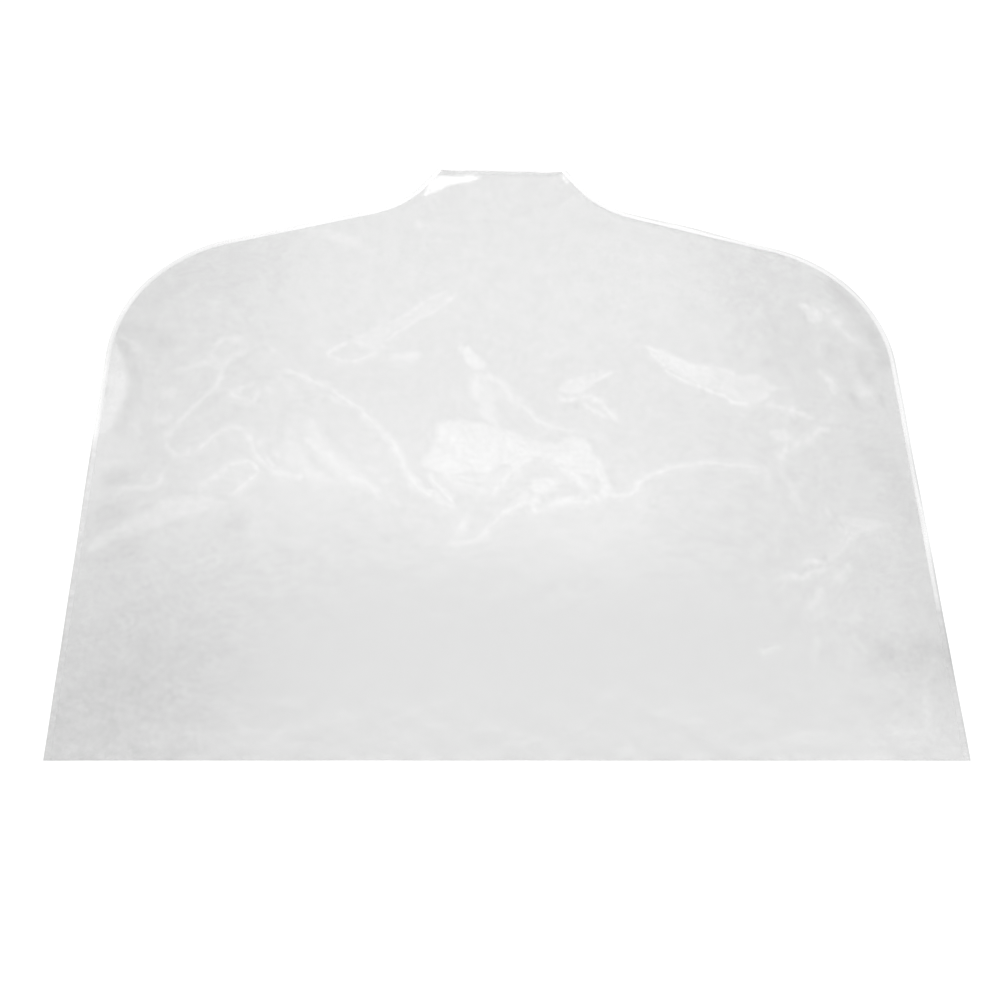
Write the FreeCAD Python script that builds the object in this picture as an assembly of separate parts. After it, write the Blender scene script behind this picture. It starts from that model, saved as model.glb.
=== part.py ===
"""Barber cape: two panels of clear film, heat-sealed along the shoulders and sides.

The cape lies flat on its back panel, as it is stored. The neck edge points to +Y, the hem to -Y,
and the origin is at the middle of the face that it lies on. The neck and the hem are open, so the
wearer's head and body go between the panels. All sizes are in millimetres.
"""

import FreeCAD, Part

import math
import os

# Driving dimensions
HEM_WIDTH = 1600.0  # across the hem, and across the body, because the side seams are parallel
LENGTH = 1355.0  # from the hem to the neck edge
NECK_WIDTH = 286.0  # across the neck edge, laid flat: 572 mm round, which passes an adult's head
NECK_RISE_ANGLE = 55.0  # the seam beside the neck falls at this angle from the horizontal
NECK_FILLET = 200.0  # hollow curve from that seam into the shoulder
SHOULDER_SLOPE = 16.5  # degrees below the horizontal
SHOULDER_DROP = 80.0  # from the neck corner straight down to the shoulder line
CORNER_RADIUS = 310.0  # round corner from the shoulder into the side seam
FILM = 0.12  # thickness of one layer
SEAM_WIDTH = 10.0  # the sealed margin, where both layers are one
LOFT = 6.0  # the air between the panels
LOFT_RISE = 30.0  # the front panel climbs from the seam to its full height in this distance
BAND_WIDTH = 14.0  # reinforcing strip along the neck edge
BAND_END_GAP = 6.0  # the strip stops this far short of the seams

HEM_Y = -LENGTH / 2
NECK_Y = LENGTH / 2
RUN_OUT = 40.0  # how far a blank runs past the neck and hem before it is trimmed to length
TRIM = 4 * HEM_WIDTH  # size of a trimming block, larger than the cape


def vector(x, y, z=0.0):
    return FreeCAD.Vector(x, y, z)


def direction(angle):
    """Unit vector at this many degrees from +X."""
    return vector(math.cos(math.radians(angle)), math.sin(math.radians(angle)))


def crossing(point_a, along_a, point_b, along_b):
    """Where two lines in the plane cross."""
    gap = point_b - point_a
    turn = along_a.x * along_b.y - along_a.y * along_b.x
    return point_a + along_a * ((gap.x * along_b.y - gap.y * along_b.x) / turn)


def fillet(corner, arriving, leaving, radius):
    """Start, middle and end of the arc that rounds a corner between two unit directions."""
    half_turn = arriving.getAngle(leaving) / 2
    reach = radius * math.tan(half_turn)
    bisector = (leaving - arriving).normalize()
    middle = corner + bisector * (radius / math.cos(half_turn) - radius)
    return corner - arriving * reach, middle, corner + leaving * reach


def right_edge(inset, low_y, high_y):
    """Points of the right-hand edge from the hem up to the neck, moved in by inset."""
    rise = direction(180 - NECK_RISE_ANGLE)
    slope = direction(180 - SHOULDER_SLOPE)
    up = vector(0, 1)
    side_point = vector(HEM_WIDTH / 2 - inset, 0)
    shoulder_point = vector(NECK_WIDTH / 2, NECK_Y - SHOULDER_DROP)
    shoulder_point -= direction(90 - SHOULDER_SLOPE) * inset
    neck_point = vector(NECK_WIDTH / 2, NECK_Y) - direction(90 - NECK_RISE_ANGLE) * inset
    shoulder_corner = crossing(side_point, up, shoulder_point, slope)
    neck_corner = crossing(shoulder_point, slope, neck_point, rise)
    level = vector(1, 0)
    return (
        crossing(side_point, up, vector(0, low_y), level),
        *fillet(shoulder_corner, up, slope, CORNER_RADIUS - inset),
        *fillet(neck_corner, slope, rise, NECK_FILLET + inset),
        crossing(neck_point, rise, vector(0, high_y), level),
    )


def outline(inset, z, low_y, high_y):
    """Closed wire of the cape's outline, moved in by inset, between two heights of Y."""
    right = [p + vector(0, 0, z) for p in right_edge(inset, low_y, high_y)]
    left = [vector(-p.x, p.y, p.z) for p in right]
    edges = []
    for side in (right, left):
        hem, side_end, corner_middle, slope_start, slope_end, neck_middle, rise_start, neck = side
        edges += [
            Part.LineSegment(hem, side_end),
            Part.Arc(side_end, corner_middle, slope_start),
            Part.LineSegment(slope_start, slope_end),
            Part.Arc(slope_end, neck_middle, rise_start),
            Part.LineSegment(rise_start, neck),
        ]
    edges += [Part.LineSegment(right[-1], left[-1]), Part.LineSegment(left[0], right[0])]
    return Part.Wire(Part.__sortEdges__([edge.toShape() for edge in edges]))


def sheet(inset, z, thickness, low_y=HEM_Y, high_y=NECK_Y):
    """Flat sheet of the cape's outline, moved in by inset."""
    return Part.Face(outline(inset, z, low_y, high_y)).extrude(vector(0, 0, thickness))


def block(low_x, high_x, low_y, high_y):
    """Trimming block through the full height."""
    corner = vector(low_x, low_y, -TRIM / 2)
    return Part.makeBox(high_x - low_x, high_y - low_y, TRIM, corner)


def mound(z):
    """Solid under the lofted front layer: its rim is at height z, just inside the seams."""
    low_y, high_y = HEM_Y - RUN_OUT, NECK_Y + RUN_OUT
    rim = outline(SEAM_WIDTH, z, low_y, high_y)
    crest = outline(SEAM_WIDTH + LOFT_RISE, z + LOFT - FILM, low_y, high_y)
    return Part.makeLoft([rim, crest], True, True)


def lofted_layer(z):
    """One layer of film over the air between the panels, open at the neck and the hem."""
    low_y, high_y = HEM_Y - RUN_OUT, NECK_Y + RUN_OUT
    rim = sheet(SEAM_WIDTH, z, FILM, low_y, high_y)
    layer = rim.fuse(mound(z + FILM)).cut(mound(z))
    return layer.common(block(-TRIM / 2, TRIM / 2, HEM_Y, NECK_Y))


def back_panel():
    """Flat lower layer, between the seams."""
    return sheet(SEAM_WIDTH, 0, FILM)


def front_panel():
    """Upper layer: it leaves the seams on top of the back panel and rises over the air."""
    return lofted_layer(FILM)


def seams():
    """The sealed margin, two layers thick, as a shoulder seam and a side seam on each side."""
    margin = sheet(0, 0, 2 * FILM).cut(sheet(SEAM_WIDTH, 0, 2 * FILM))
    side_end_y = right_edge(0, HEM_Y, NECK_Y)[1].y
    spans = {"shoulder": (side_end_y, NECK_Y), "side": (HEM_Y, side_end_y)}
    halves = {"left": (-TRIM / 2, 0), "right": (0, TRIM / 2)}
    made = {}
    for half, (low_x, high_x) in halves.items():
        for span, (low_y, high_y) in spans.items():
            made[f"{half}_{span}_seam"] = margin.common(block(low_x, high_x, low_y, high_y))
    return made


def neck_strip():
    """The space that a neck band may take: a strip along the neck edge, clear of the seams."""
    strip = sheet(SEAM_WIDTH + BAND_END_GAP, -LOFT, 3 * LOFT)
    return strip.common(block(-TRIM / 2, TRIM / 2, NECK_Y - BAND_WIDTH, NECK_Y))


def back_neck_band():
    """Strip sealed to the inside of the back panel."""
    return sheet(SEAM_WIDTH, FILM, FILM).common(neck_strip())


def front_neck_band():
    """Strip sealed to the inside of the front panel."""
    return lofted_layer(0).common(neck_strip())


def main():
    os.makedirs("parts", exist_ok=True)
    parts = {
        "back_panel": back_panel(),
        "front_panel": front_panel(),
        "back_neck_band": back_neck_band(),
        "front_neck_band": front_neck_band(),
        **seams(),
    }
    for name, shape in parts.items():
        if not shape.isValid() or len(shape.Solids) != 1:
            raise ValueError(f"{name} is not one valid solid: {len(shape.Solids)} solids")
        shape.exportStep(f"parts/{name}.step")
        print(f"{name}: {shape.Volume / 1000:.2f} cm3")


main()
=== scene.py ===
"""Looks of the barber cape: clear film panels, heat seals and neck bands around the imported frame.

The cape lies flat on its back panel. The front panel floats a few millimetres above it on trapped air,
clings to it in patches, and stands up in thin ridges between them. Lengths are in metres, except in the
tables of creases, patches, shades and the seal's profile, which are in millimetres.
"""

import math

import bpy
import numpy as np
from mathutils import Euler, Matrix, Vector
from mathutils.geometry import delaunay_2d_cdt


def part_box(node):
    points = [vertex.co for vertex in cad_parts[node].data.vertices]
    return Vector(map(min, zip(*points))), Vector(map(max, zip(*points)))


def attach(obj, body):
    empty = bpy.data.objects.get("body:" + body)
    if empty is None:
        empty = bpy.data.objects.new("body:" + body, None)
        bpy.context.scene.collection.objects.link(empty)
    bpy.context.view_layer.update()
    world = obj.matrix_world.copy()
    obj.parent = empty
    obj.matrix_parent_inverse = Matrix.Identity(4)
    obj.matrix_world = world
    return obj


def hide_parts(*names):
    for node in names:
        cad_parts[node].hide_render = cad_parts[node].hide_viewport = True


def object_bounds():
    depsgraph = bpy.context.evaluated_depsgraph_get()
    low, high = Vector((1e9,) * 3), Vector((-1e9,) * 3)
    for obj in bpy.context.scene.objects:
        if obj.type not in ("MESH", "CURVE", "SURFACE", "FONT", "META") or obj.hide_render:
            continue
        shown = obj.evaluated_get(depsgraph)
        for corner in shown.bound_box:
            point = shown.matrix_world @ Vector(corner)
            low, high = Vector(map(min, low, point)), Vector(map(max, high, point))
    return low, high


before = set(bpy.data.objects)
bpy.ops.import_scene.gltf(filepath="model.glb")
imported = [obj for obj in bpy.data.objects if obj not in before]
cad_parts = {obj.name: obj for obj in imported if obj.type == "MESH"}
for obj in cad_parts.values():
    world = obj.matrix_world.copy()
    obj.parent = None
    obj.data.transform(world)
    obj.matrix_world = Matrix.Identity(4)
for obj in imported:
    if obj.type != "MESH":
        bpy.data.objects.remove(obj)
cad_low, cad_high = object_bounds()

MM = 0.001

# The cape's cut, as in the CAD model
HALF_WIDTH = (cad_high.x - cad_low.x) / 2
HEM_Y, NECK_Y = cad_low.y, cad_high.y
HALF_NECK = 143 * MM
NECK_RISE_ANGLE = 55.0
NECK_FILLET = 200 * MM
SHOULDER_SLOPE = 16.5
SHOULDER_DROP = 80 * MM
CORNER_RADIUS = 310 * MM
SIDE_RUN, SHOULDER_RUN, NECK_RUN = 860 * MM, 300 * MM, 25 * MM  # rough lengths, for counting points
SEAM_WIDTH = 10 * MM
FILM = 0.12 * MM
band_low, band_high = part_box("back_neck_band")
BAND_WIDTH = band_high.y - band_low.y
BAND_HALF_WIDTH = band_high.x

# How the film lies. A wave is a share or height, the seed of its random field and its wavelength.
BACK_LIFT = 0.25 * MM  # usual height of the back panel above z = 0
LEAST_LIFT = 0.1  # least share of that height
BACK_WAVE = (0.7, 3, 0.30)
LOFT = 2.0 * MM  # usual air gap between the panels
LOFT_REACH = 35 * MM  # distance from a seam in which the gap opens
LOFT_POWER = 1.5  # makes it start gently
LOFT_WAVES = ((0.35, 1, 0.26), (0.12, 2, 0.08))
LEAST_LOFT = 0.2  # least share of the usual gap that these waves leave
CLING_REACH = 14 * MM  # least distance on each side of a patch's edge in which the gap closes
CLING_CLOSES = 0.6  # share of the gap that closes there
PATCH_WAVE = (0.12, 31, 50 * MM)  # unevenness of a patch's clearness
LAYER_GAP = 0.02 * MM  # keeps touching layers from sharing a surface
PUCKER_HEIGHT = 0.35 * MM  # small waves along the seams
PUCKER_PITCH = 70 * MM
PUCKER_PATCHES = (0.6, 7, 0.25)  # they come in groups
PUCKER_SHIFTS = (3, 8, 0.3)  # and are unevenly spaced
PUCKER_REACH = 30 * MM  # distance from a seam in which they die down
PUCKER_START = 12 * MM  # and in which they start
NECK_DIP = 7 * MM  # the front neck edge has slipped this far below the back one
NECK_REACH = 70 * MM  # distance from the neck edge in which it slips and opens
NECK_HOLD = 0.6  # share of the half neck width from which the slip falls off towards the seams
NECK_MOUTH = 2.0 * MM  # extra gap at the neck edge
MOUTH_REACH = 60 * MM  # distance from a seam in which that gap opens
SPREAD = 1.35  # how much wider a crease's painted highlight is than its bead
FEATHER = 2 * MM  # and how much further its painted highlight fades out
CREST = 0.78  # share of its painted highlight that a crease keeps on average at its crest
STEEPNESS = 0.15  # height of a crease over its half-width, at a clearness of a half
CREASE_REACH = 2.6  # how many half-widths from its line a crease is worked out
CREASE_WAVES = ((0.14, 40, 60 * MM), (0.15, 140, 16 * MM))  # unevenness along a crease
CREASE_START = 10 * MM  # distance from a seam in which creases rise
CREASE_FADE = 20 * MM  # distance from its ends in which a crease fades
CREASE_END = 0.25  # share of its height at its ends, and of its length that may fade
WANDER = 1.2 * MM  # unevenness of the creases' lines, and its wavelength
WANDER_LENGTH = 45 * MM
SHADE_REACH = 2.4  # how many half-widths from its line a shade is worked out

# Mesh spacing
COARSE = 14 * MM
MEDIUM = COARSE / 3
FINE = COARSE / 6
THIN = 6 * MM  # creases of a smaller half-width get the fine mesh
MEDIUM_REACH, FINE_REACH = 2.2, 1.25  # how many half-widths of a crease get each mesh
PATCH_MARGIN = 3  # millimetres beyond a patch's soft edge that get the medium mesh
SEAM_MARGIN = 24 * MM  # distance from a seam, and from the neck edge, that gets it
NECK_MARGIN = 45 * MM
EDGE_ROWS = (1.2 * MM, 3.5 * MM)  # rows of points just inside the neck and hem edges
SAME_POINT = 0.1 * MM  # points that round to the same multiple of this are one
CLEAR_OF_EDGE, CLEAR_OF_SEAM = 1.1 * MEDIUM, 0.7 * MEDIUM  # no free grid points closer than this
BLOCK = 4000  # points handled at a time, to keep the arrays small
TOLERANCE = 1e-6  # of the triangulation
KEEP_INSIDE = 1  # its choice that leaves out the triangles beyond the boundary
BAND_COLUMNS = 120
BAND_ROWS = (0, 1, 3, 6, 9, 12, 13.2, 14)  # millimetres from the neck edge
SHARP = 50  # degrees between faces from which an edge is shaded sharp

# Creases where the front film stands up, each with a painted highlight along it, given as extra
# clearness: points, half-width, clearness
CREASES = (
    # the long fold from the left to the middle
    ([(-455, 128), (-430, 130), (-405, 118), (-380, 105), (-355, 93), (-335, 78), (-315, 60),
      (-295, 45), (-275, 22), (-250, 0), (-235, -20), (-220, -45), (-207, -70), (-195, -100),
      (-180, -125), (-160, -145), (-135, -160), (-108, -175)], 4.5, 0.52),
    ([(-152, -100), (-145, -118), (-130, -140), (-115, -158), (-100, -177)], 4, 0.6),
    ([(-445, 105), (-430, 90), (-420, 70), (-410, 55)], 9, 0.3),
    ([(-465, 120), (-450, 112), (-440, 105)], 6, 0.3),
    ([(-400, -22), (-385, -32), (-370, -48), (-357, -68)], 3.5, 0.5),
    ([(-340, -80), (-328, -100), (-310, -118), (-285, -130), (-260, -142), (-250, -152)], 7, 0.38),
    ([(-240, -115), (-230, -130)], 9, 0.35),
    ([(-210, -162), (-225, -175)], 8, 0.25),
    ([(-275, -88), (-255, -100), (-240, -96)], 6, 0.2),
    # the leaf above the middle, on the left
    ([(-315, 208), (-340, 193), (-355, 178), (-347, 164), (-320, 158), (-295, 160), (-280, 168),
      (-265, 178), (-250, 180)], 4.5, 0.45),
    ([(-315, 205), (-280, 226), (-252, 245), (-212, 268), (-178, 297), (-144, 323),
      (-110, 338)], 3.5, 0.34),
    ([(-262, 178), (-245, 200), (-235, 218), (-212, 241), (-183, 262), (-149, 285), (-120, 310),
      (-100, 336)], 3.5, 0.38),
    ([(-245, 166), (-222, 168), (-200, 171), (-180, 175), (-165, 178)], 7, 0.42),
    ([(-140, 188), (-125, 192)], 6, 0.2),
    # the fork on the left, and the small loop beside it
    ([(-585, 150), (-565, 145), (-555, 160), (-540, 172), (-525, 185), (-510, 193)], 7, 0.42),
    ([(-590, 175), (-580, 203), (-560, 210), (-535, 205), (-515, 193)], 5, 0.35),
    ([(-592, 190), (-592, 170), (-605, 155), (-630, 142), (-655, 127), (-665, 115)], 6, 0.38),
    ([(-580, 145), (-570, 135), (-572, 110), (-582, 88), (-600, 65), (-620, 40), (-635, 18), (-650, -5),
      (-662, -25), (-664, -45)], 5, 0.4),
    ([(-480, 180), (-465, 180)], 7, 0.3),
    ([(-695, 78), (-675, 80), (-650, 78)], 12, 0.28),
    ([(-695, 14), (-670, 14), (-650, 14)], 8, 0.36),
    ([(-500, 112), (-508, 100), (-525, 90), (-545, 80), (-535, 68), (-515, 60), (-500, 62), (-492, 80),
      (-498, 98)], 4, 0.38),
    ([(-495, 85), (-475, 90), (-465, 82), (-455, 93)], 4, 0.3),
    # the waves below it
    ([(-632, -66), (-610, -60), (-595, -50), (-580, -30), (-562, -13), (-545, -4), (-525, -4),
      (-510, -12)], 4, 0.5),
    ([(-525, -12), (-508, -22), (-498, -40), (-492, -58), (-480, -75), (-463, -93), (-443, -106),
      (-410, -114), (-380, -111)], 5.5, 0.44),
    ([(-597, -142), (-580, -130), (-562, -117), (-548, -100), (-535, -88), (-515, -81), (-495, -83),
      (-485, -95), (-488, -115), (-500, -130), (-515, -145), (-530, -160)], 5, 0.44),
    ([(-470, -65), (-460, -80), (-450, -95)], 4, 0.4),
    ([(-490, -40), (-475, -35)], 7, 0.3),
    ([(-455, -65), (-440, -65)], 7, 0.35),
    ([(-775, -272), (-765, -255), (-745, -242), (-725, -230)], 7, 0.25),
    ([(-748, -152), (-730, -141), (-700, -139), (-677, -138), (-664, -125), (-660, -103)], 5, 0.38),
    ([(-700, -112), (-685, -122), (-670, -128)], 4, 0.28),
    ([(-790, -80), (-765, -86), (-740, -82)], 4, 0.22),
    ([(-725, 10), (-717, -15), (-722, -40)], 5, 0.18),
    # the star in the middle
    ([(-55, 140), (-58, 115), (-60, 95), (-54, 75), (-43, 60), (-40, 35), (-28, 15),
      (-15, 0)], 10, 0.55),
    ([(-50, 132), (-32, 120), (-12, 105), (4, 85), (20, 66), (36, 50)], 9, 0.55),
    ([(25, 62), (42, 45), (52, 30), (65, 18), (90, 6), (120, -2), (145, -10)], 4.5, 0.5),
    ([(-105, -100), (-90, -110), (-70, -120), (-45, -118), (-30, -105)], 5, 0.45),
    ([(-80, -75), (-60, -85)], 8, 0.75),
    ([(42, -75), (15, -92), (-5, -112), (-22, -135), (-35, -155)], 3.5, 0.6),
    ([(45, -138), (32, -150), (25, -165), (10, -178), (-10, -195), (-30, -215), (-47, -238),
      (-60, -250), (-85, -258), (-105, -260)], 5, 0.5),
    ([(40, -140), (28, -155), (20, -165)], 9, 0.35),
    ([(-78, -200), (-87, -220), (-95, -240), (-100, -250)], 8, 0.5),
    ([(-120, -262), (-100, -256), (-75, -255), (-50, -247)], 7, 0.45),
    ([(60, -145), (50, -165), (50, -185), (70, -182), (90, -170), (110, -162), (130, -162), (150, -165),
      (170, -155), (180, -147)], 6, 0.6),
    ([(90, -85), (122, -100), (138, -118), (152, -138), (165, -150)], 5, 0.7),
    ([(30, -45), (70, -60), (110, -75), (150, -90)], 12, 0.5),
    ([(30, -145), (35, -165), (52, -183)], 9, 0.4),
    # the long ridge from the middle to the right
    ([(170, -148), (210, -150), (235, -146), (250, -130), (265, -112), (280, -102), (305, -94),
      (335, -84), (365, -77), (395, -75), (430, -78), (465, -80), (495, -84), (515, -93)], 5, 0.56),
    # the pair of short folds right of the middle
    ([(105, 95), (120, 112), (150, 123), (185, 132), (213, 142)], 3.5, 0.5),
    ([(155, 100), (170, 112), (180, 120)], 3.5, 0.45),
    ([(98, 68), (120, 71), (145, 76), (168, 76), (185, 66), (198, 50), (210, 35), (220, 18)], 4.5, 0.7),
    ([(150, 68), (165, 52), (185, 37), (205, 22)], 5, 0.5),
    ([(75, 178), (100, 180), (125, 205)], 8, 0.2),
    ([(165, -18), (190, -18)], 6, 0.3),
    ([(250, -165), (250, -185)], 7, 0.15),
    # the leaf on the right, and its tail
    ([(288, 200), (310, 175), (330, 145), (355, 125), (385, 110), (412, 98), (440, 84), (460, 69),
      (485, 65), (497, 76)], 4.5, 0.7),
    ([(420, 142), (428, 128), (440, 115)], 4, 0.5),
    ([(455, 125), (465, 115)], 8, 0.55),
    ([(500, 130), (525, 125)], 7, 0.38),
    ([(510, 60), (530, 63), (550, 57), (575, 50), (600, 38), (620, 28)], 5, 0.52),
    # the fork further right
    ([(535, -72), (545, -50), (552, -33), (556, -15), (550, 0)], 5, 0.6),
    ([(556, -42), (575, -31), (595, -20), (612, -8), (622, 6), (650, 12)], 6, 0.5),
    ([(535, -95), (545, -115), (555, -140), (562, -165), (570, -185)], 7, 0.38),
    ([(620, 20), (650, 30), (660, 45)], 8, 0.28),
    # the right shoulder corner
    ([(655, 312), (675, 307), (690, 290), (698, 270), (702, 250)], 10, 0.5),
    ([(695, 262), (710, 246), (722, 232), (737, 220), (750, 213)], 9, 0.45),
    ([(635, 153), (650, 137), (663, 120), (665, 100), (660, 83)], 6, 0.4),
    ([(722, 130), (724, 108), (737, 85)], 9, 0.45),
    ([(750, 275), (755, 268)], 6, 0.25),
    # the right side, down to the hem
    ([(608, -178), (622, -180)], 10, 0.35),
    ([(735, -212), (705, -210), (685, -216), (665, -226), (650, -240), (630, -255)], 5, 0.38),
    ([(645, -200), (638, -215), (622, -235), (610, -255), (605, -280)], 6, 0.3),
    ([(500, -322), (520, -320), (545, -323), (560, -316), (577, -309), (592, -302),
      (603, -298)], 4.5, 0.56),
    ([(530, -322), (550, -320)], 8, 0.35),
    ([(548, -303), (556, -293), (572, -288), (588, -290), (602, -297)], 4.5, 0.54),
    ([(643, -288), (636, -303), (622, -317), (605, -335)], 5.5, 0.32),
    ([(583, -340), (573, -360), (560, -378), (545, -390)], 6, 0.35),
    ([(553, -407), (572, -395), (592, -390)], 6, 0.22),
    ([(610, -405), (625, -408), (642, -400)], 6, 0.22),
    ([(560, -430), (557, -455), (550, -475), (545, -495)], 5, 0.26),
    ([(625, -432), (632, -450), (640, -475)], 5, 0.18),
    ([(448, -482), (466, -470), (494, -460)], 5, 0.25),
    ([(785, -472), (772, -484), (760, -500), (752, -520), (745, -545), (740, -575),
      (738, -610)], 5, 0.32),
    # the left shoulder corner, and a spot below the neck
    ([(-785, 217), (-763, 203), (-745, 185), (-735, 165)], 6, 0.6),
    ([(-190, 515), (-170, 520)], 9, 0.3),
    # between the fork on the left and the waves below it
    ([(-664, -30), (-657, -48), (-645, -62), (-630, -68), (-612, -66)], 4, 0.35),
)

# Patches where the panels cling together and the film is clearer, and two painted glints below the neck
# edge: closed outline, softness of its edge, clearness
PATCHES = (
    # the star in the middle
    ([(-135, 12), (-100, 18), (-60, 16), (-20, 8), (0, -12), (20, -35), (55, -45), (90, -53),
      (115, -52), (135, -42), (125, -28), (148, -18), (162, -35), (165, -55), (182, -70), (190, -100),
      (195, -135), (175, -150), (175, -115), (150, -100), (110, -100), (88, -82), (60, -65), (40, -75),
      (15, -85), (-10, -82), (-30, -100), (-50, -100), (-75, -100), (-100, -105), (-140, -98),
      (-168, -80), (-150, -50), (-140, -20)], 7, 0.46),
    ([(-130, -95), (-50, -95), (10, -85), (30, -100), (0, -130), (-40, -150), (-85, -140),
      (-120, -120)], 12, 0.26),
    ([(-95, 200), (-78, 198), (-60, 180), (-42, 158), (-45, 143), (-65, 145), (-80, 160),
      (-88, 180)], 5, 0.42),
    ([(-50, 130), (-20, 105), (0, 80), (-20, 70), (-45, 60), (-55, 90)], 6, 0.3),
    ([(-30, 20), (0, 0), (40, -20), (100, -30), (130, -10), (150, -30), (160, -80), (100, -60),
      (40, -45), (0, -30)], 8, 0.3),
    ([(52, -115), (90, -112), (95, -125), (82, -138), (60, -145), (45, -138)], 7, 0.48),
    # the pair of short folds right of the middle
    ([(105, 103), (120, 115), (155, 125), (185, 130), (212, 143), (215, 136), (192, 120), (165, 108),
      (155, 92), (130, 85), (110, 90)], 3, 0.4),
    # the leaf on the right
    ([(285, 205), (325, 195), (350, 180), (375, 165), (410, 160), (430, 145), (420, 120), (400, 105),
      (370, 115), (340, 130), (320, 155), (305, 180)], 6, 0.5),
    ([(400, 162), (435, 155), (460, 148), (475, 133), (505, 140), (530, 125), (547, 105), (530, 88),
      (510, 70), (485, 63), (455, 70), (430, 85), (400, 100), (390, 130)], 6, 0.38),
    # beside the long fold on the left
    ([(-385, 20), (-365, 0), (-345, -30), (-330, -55), (-300, -85), (-270, -110), (-245, -140),
      (-250, -155), (-280, -135), (-310, -125), (-335, -100), (-355, -75), (-370, -50),
      (-385, -20)], 15, 0.36),
    ([(-420, -10), (-400, -30), (-385, -65), (-360, -95), (-330, -115), (-350, -130), (-390, -110),
      (-415, -80), (-430, -45)], 14, 0.28),
    ([(-340, 85), (-320, 75), (-310, 58), (-335, 55), (-350, 70)], 7, 0.26),
    ([(-160, -140), (-140, -135), (-115, -155), (-100, -175), (-125, -175), (-150, -160)], 4, 0.32),
    ([(-190, -110), (-175, -110), (-160, -135), (-175, -145), (-190, -130)], 6, 0.35),
    # the leaf above the middle, on the left
    ([(-310, 210), (-280, 225), (-250, 243), (-215, 262), (-200, 250), (-235, 215), (-250, 190),
      (-275, 187), (-300, 198)], 8, 0.24),
    ([(-220, 250), (-200, 272), (-170, 298), (-140, 322), (-110, 334), (-100, 328), (-125, 303),
      (-155, 278), (-190, 250)], 6, 0.2),
    # the streak and the light side on the left
    ([(-650, -162), (-600, -158), (-560, -160), (-535, -170), (-560, -185), (-600, -200), (-640, -215),
      (-690, -235), (-730, -250), (-765, -275), (-780, -270), (-765, -250), (-735, -228), (-700, -205),
      (-670, -185)], 9, 0.35),
    ([(-790, 195), (-773, 170), (-757, 130), (-750, 90), (-754, 50), (-766, 10), (-785, -20), (-800, 0),
      (-800, 100)], 8, 0.45),
    # where the arms of the fork meet
    ([(-625, 145), (-605, 160), (-585, 172), (-570, 158), (-545, 165), (-550, 148), (-570, 128),
      (-590, 140)], 7, 0.3),
    # the right side
    ([(515, -2), (530, 6), (550, 5), (562, -10), (562, -30), (545, -22), (525, -25)], 6, 0.38),
    ([(620, 318), (642, 315), (660, 300), (665, 283), (645, 268), (633, 275), (628, 295)], 7, 0.6),
    ([(635, -190), (670, -192), (710, -200), (735, -210), (700, -212), (670, -230), (640, -255),
      (610, -285), (600, -290), (605, -265), (625, -230), (640, -215)], 5, 0.28),
    # below the left shoulder
    ([(-420, 500), (-360, 505), (-320, 490), (-290, 460), (-280, 440), (-320, 455),
      (-370, 475)], 12, 0.15),
    # painted glints just below the neck edge, where the front film folds
    ([(-150, 655), (-125, 660), (-90, 662), (-50, 658), (-60, 652), (-90, 640), (-115, 630),
      (-140, 615), (-170, 600), (-165, 620)], 3, 1.1),
    ([(128, 668), (140, 665), (146, 650), (140, 645)], 3, 0.8),
)

# Painted shade on the film, mostly in the corners and beside folds, and painted light where the amount
# is negative; a few rows are dark lines along the right shoulder seam and the hem: points, half-width,
# amount
SHADES = (
    # painted shade in the lower left corner
    ([(-950, -750), (-700, -600)], 245, 0.8),
    ([(-700, 340), (-500, 400)], 60, 0.15),
    ([(500, 400), (560, 220)], 70, 0.18),
    ([(200, 590), (250, 557), (300, 540), (400, 510), (500, 480), (600, 450)], 4, 0.5),
    ([(680, -480), (770, -500)], 45, 0.3),
    # painted light over the middle and the upper middle
    ([(-500, -130), (-100, -100), (200, -150)], 150, -0.3),
    ([(-300, 300), (250, 300)], 260, -0.15),
    ([(-770, 195), (-748, 160), (-736, 120), (-733, 80), (-740, 30), (-750, -10)], 12, 0.4),
    ([(-770, 228), (-730, 220), (-690, 205)], 25, 0.3),
    ([(-789, 90), (-789, 80)], 7, 0.6),
    ([(-755, -122), (-735, -122)], 20, 0.6),
    ([(-760, -200), (-730, -190)], 25, 0.35),
    ([(-740, -290), (-700, -275)], 20, 0.3),
    ([(-525, -220), (-505, -210)], 20, 0.3),
    # painted shadow under the fold right of the middle
    ([(105, 58), (130, 60), (150, 55)], 4, 0.35),
    ([(530, 165), (550, 160)], 14, 0.25),
    ([(700, 370), (725, 325), (745, 285), (762, 245), (775, 200), (778, 170)], 17, 0.42),
    ([(735, 190), (730, 160), (738, 130)], 12, 0.35),
    ([(693, 105), (700, 85), (710, 60)], 5, 0.5),
    ([(755, 90), (757, 70)], 6, 0.4),
    ([(670, 200), (685, 195)], 18, 0.3),
    ([(720, -40), (755, -100), (775, -180)], 34, 0.25),
    ([(740, -468), (765, -465), (790, -472)], 15, 0.36),
    ([(675, -455), (680, -475)], 9, 0.35),
    ([(860, -350), (860, -550)], 110, 0.4),
    ([(797, -420), (798, -520)], 6, 0.35),
    # painted glint below the neck edge, on both panels
    ([(-150, 632), (-100, 652), (-60, 660)], 9, -0.7),
    # painted light down the left side and below the middle
    ([(-765, 90), (-765, -130)], 50, -0.28),
    ([(-100, -240), (150, -250)], 90, -0.15),
    # darker towards the hem, and a dark line along it
    ([(-350, -665), (400, -665)], 50, 0.12),
    ([(-785, -677.5), (785, -677.5)], 3, 0.3),
)
SMOOTH_CENTRE, SMOOTH_RADIUS = (0.05, -0.62), 0.5  # the film has no mottling here
SMOOTH_SQUASH = (0.9, 1.2)  # the area is wider than it is high
MOTTLE_STARTS, MOTTLE_FULL = 0.75, 1.15  # shares of that radius
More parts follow.
